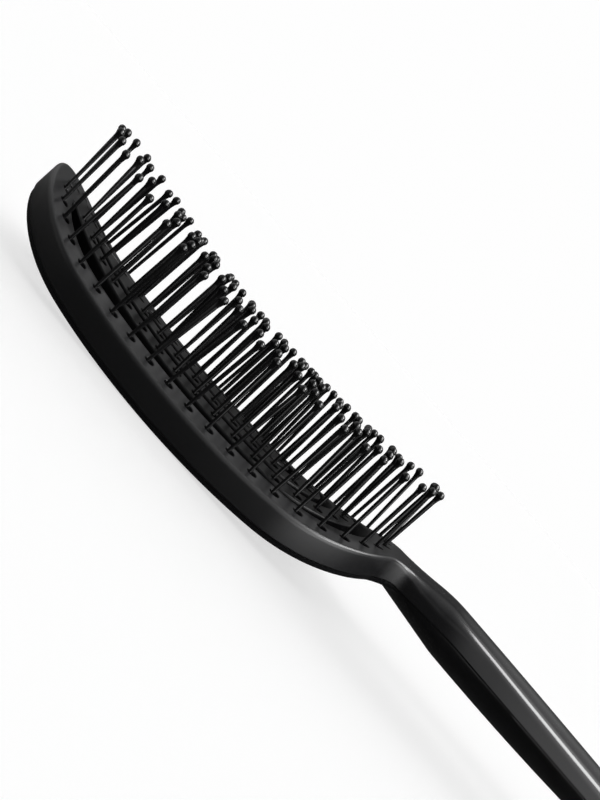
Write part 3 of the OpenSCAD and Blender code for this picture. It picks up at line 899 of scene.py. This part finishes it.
def pinPlastic():
    # glossy nylon, duller and paler in patches
    f = Finish("pinNylon")
    wear = f.noise(f.wire("ShaderNodeTexCoord", "Object"), *pinNylon["wear"])
    color = f.blend(wear, pinNylon["color"], pinNylon["wornColor"])
    return f.close(f.plastic(color, pinNylon["rough"] + wear * pinNylon["wornRough"], pinNylon["ior"]))


satinPlastic = framePlastic("satinBlack", True)
glossPlastic = framePlastic("glossBlack", False)
nylon = pinPlastic()
dressed = [(frontPiece, satinPlastic, "housing"), (backPiece, glossPlastic, "back")]
dressed += [(piece, nylon, "pins") for piece in pinPieces]
for piece, material, slot in dressed:
    piece.data.materials.append(material)
    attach(piece, "root")
for node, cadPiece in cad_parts.items():
    cadPiece.data.materials.clear()
    cadPiece.data.materials.append(nylon if "pins" in node else satinPlastic)
print("materials on", len(dressed), "pieces")

# Camera: where the photograph was taken from, in the frame of the whole brush
view = {
    "position": (29.95, 366.5, 56.04),
    "right": (-0.65397, -0.08261, 0.75200),
    "up": (0.75595, -0.03263, 0.65382),
    "back": (-0.02947, 0.99605, 0.08379),
    "lens": 48.01,
    "sensor": 24.0,
    "clip": 0.01,
}
cameraData = bpy.data.cameras.new("camera")
cameraData.sensor_fit = "VERTICAL"
cameraData.sensor_height = view["sensor"]
cameraData.lens = view["lens"]
cameraData.clip_start = view["clip"]
camera = newObject("camera", cameraData)
turn = Matrix([view["right"], view["up"], view["back"]]).transposed()
camera.matrix_world = Matrix.Translation(Vector(view["position"]) * millimetre) @ turn.to_4x4()
bpy.context.scene.camera = camera

# Floor and world, in metres: white to the camera. Soft light is even, with a low band of sky
# behind the brush that gives the floor its soft shadow, and the gloss sees a studio of its own.
# A row of two or four numbers is a ramp: from, to, and the values there, or else 0 and 1.
floor = {
    "half": 2.2,
    "cells": 8,
    "shade": 0.42,  # how much soft light it gives back
    "glow": 0.654,  # seen by the camera only
    "cardAt": (-0.1, 0.17, 0.0),  # from here on, seen by gloss only, as painted light: a glowing patch beside the neck, painted shade near the brush, and paler parts behind and beside it
    "card": (0.03, 0.1, 2.2, 0.0),
    "behind": (-0.2, -0.06, 0.12, 0.0),
    "beside": (0.15, 0.4, 0.0, 0.25),
    "dark": 0.03,
}
studio = {
    "white": 0.99,  # seen by the camera only
    "sky": 0.47,  # soft light from all round, and its low band behind the brush
    "lowSky": 6.08,
    "lowSkyFrom": (0.14, 0.28),
    "lowSkyTo": (0.35, 0.6, 1.0, 0.0),
    "lowSkyBehind": (-0.75, -0.35, 1.0, 0.0),
    "paper": 0.4,  # from here on, seen by gloss only
    "paperBehind": (-0.45, 0.1, 1.0, 0.0),
    "paperHigh": (0.2, 0.5, 0.1, 1.0),
    "paperTail": (-0.32, -0.24, 0.9, 0.0),
    "paperRight": (0.0, 0.08),
    "paperLeft": (-0.2, -0.1, 0.8, 0.0),
    "paperLeast": 0.15,
    "key": 1.4,
    "keyWay": (-0.46, 0.686, 0.563),  # the direction it comes from
    "keyFade": (0.85, 1.0),
    "halo": 2.2,
    "haloHigh": (0.7, 1.0),
    "haloLeft": (-0.3, 0.05, 1.0, 0.1),
    "neckCard": 4.2,
    "neckCardWay": (-0.85, 0.5, 0.1),
    "neckCardFade": (0.8, 0.97),
    "side": 0.3,
    "sideRight": (0.4, 0.8),
    "room": 0.05,  # everywhere
}


def seenRays(f):
    # masks of the rays that the camera sends, of those that gloss and glass send, and of soft light
    path = f.add("ShaderNodeLightPath")
    kinds = ("Camera", "Glossy", "Transmission", "Diffuse")
    camera, glossy, glass, diffuse = (Wire(f, path.outputs[f"Is {kind} Ray"]) for kind in kinds)
    return camera, f.maths("MAXIMUM", glossy, glass), diffuse


def paperWhite():
    # pale paper that glows for the camera; gloss sees painted light on it instead: a glowing patch by
    # the neck, painted shade near the brush and paler far parts
    f = Finish("paperWhite")
    camera, glossy, _ = seenRays(f)
    where = f.wire("ShaderNodeTexCoord", "Object")
    x, y, _ = f.split(where)
    # painted light and shade for gloss only: a glowing patch by the neck, dark near the brush as a
    # painted shadow, paler behind and beside
    card = f.ramp(f.vectors("DISTANCE", where, floor["cardAt"]), *floor["card"])
    paintedReflection = card + f.ramp(y, *floor["behind"]) + f.ramp(x, *floor["beside"]) + floor["dark"]
    grey = (floor["shade"],) * 3 + (1.0,)
    diffuse = f.wire("ShaderNodeBsdfDiffuse", "BSDF", None, {"Color": grey})
    shown = f.glow(camera * floor["glow"])
    paper = f.wire("ShaderNodeAddShader", "Shader", None, {0: diffuse, 1: shown})
    return f.close(f.mix(glossy, paper, f.glow(paintedReflection)))


def studioWorld():
    # each ray's own brightness: white for the camera, the sky for soft light, and for gloss the
    # paper behind, a key light, a halo above, a card by the neck and a paler side in a dark room
    f = Finish("studio", "worlds")
    camera, glossy, diffuse = seenRays(f)
    way = f.wire("ShaderNodeTexCoord", "Generated")
    x, y, z = f.split(way)
    high = f.maths("MAXIMUM", f.ramp(z, *studio["paperHigh"]), f.ramp(x, *studio["paperTail"]))
    wide = f.ramp(x, *studio["paperRight"]) + f.ramp(x, *studio["paperLeft"]) + studio["paperLeast"]
    paper = f.ramp(y, *studio["paperBehind"]) * high * wide
    key = f.ramp(f.vectors("DOT_PRODUCT", way, studio["keyWay"]), *studio["keyFade"])
    halo = f.ramp(z, *studio["haloHigh"]) * f.ramp(x, *studio["haloLeft"])
    card = f.ramp(f.vectors("DOT_PRODUCT", way, studio["neckCardWay"]), *studio["neckCardFade"])
    side = f.ramp(x, *studio["sideRight"])
    light = paper * studio["paper"] + key * studio["key"] + halo * studio["halo"]
    light = light + card * studio["neckCard"] + side * studio["side"] + studio["room"]
    lowBand = f.ramp(z, *studio["lowSkyFrom"]) * f.ramp(z, *studio["lowSkyTo"])
    lowSky = f.ramp(y, *studio["lowSkyBehind"]) * lowBand * studio["lowSky"]
    strength = camera * studio["white"] + diffuse * (lowSky + studio["sky"]) + glossy * light
    values = {"Color": (1.0, 1.0, 1.0, 1.0), "Strength": strength}
    room = f.wire("ShaderNodeBackground", "Background", None, values)
    return f.close(room, "ShaderNodeOutputWorld")


def floorSheet():
    # an even grid of square cells
    cells, across = floor["cells"], floor["cells"] + 1
    line = np.linspace(-1, 1, across) * floor["half"]
    gx, gy = np.meshgrid(line, line)
    points = np.column_stack([gx.ravel(), gy.ravel(), 0 * gx.ravel()])
    corner = (np.arange(cells)[:, None] * across + np.arange(cells)).ravel()
    faces = np.stack([corner, corner + 1, corner + across + 1, corner + across], 1)
    mesh = bpy.data.meshes.new("floor")
    mesh.from_pydata(points.tolist(), [], faces.tolist())
    mesh.materials.append(paperWhite())
    return newObject("floor", mesh)


floorPiece = floorSheet()
bpy.context.scene.world = studioWorld()

brushOnly = bpy.data.collections.new("brushOnly")  # the lamps leave the floor to the sky
for piece in [frontPiece, backPiece] + pinPieces:
    brushOnly.objects.link(piece)
lamps = {
    "overheadBox": {
        "spot": (-0.44, -0.06, 0.7),
        "aim": (-0.44, -0.06, 0.0),
        "size": (0.66, 0.24),
        "power": 6.0,
    },
    "keyBox": {
        "spot": (-0.5, 0.27, 0.7),
        "aim": (0.0, 0.0, 0.015),
        "size": (0.22, 0.22),
        "power": 4.0,
    },
}


def softBox(name, spot, aim, size, power):
    # a rectangular lamp at a spot, turned to what it aims at
    lamp = bpy.data.lights.new(name, "AREA")
    lamp.shape = "RECTANGLE"
    lamp.size, lamp.size_y = size
    lamp.energy = power
    box = newObject(name, lamp)
    box.location = spot
    box.rotation_euler = (Vector(aim) - Vector(spot)).to_track_quat("-Z", "Y").to_euler()
    box.light_linking.receiver_collection = brushOnly


for name, lamp in lamps.items():
    softBox(name, **lamp)
bpy.context.scene.view_settings.view_transform = "Standard"
print("camera, floor and lights are set")
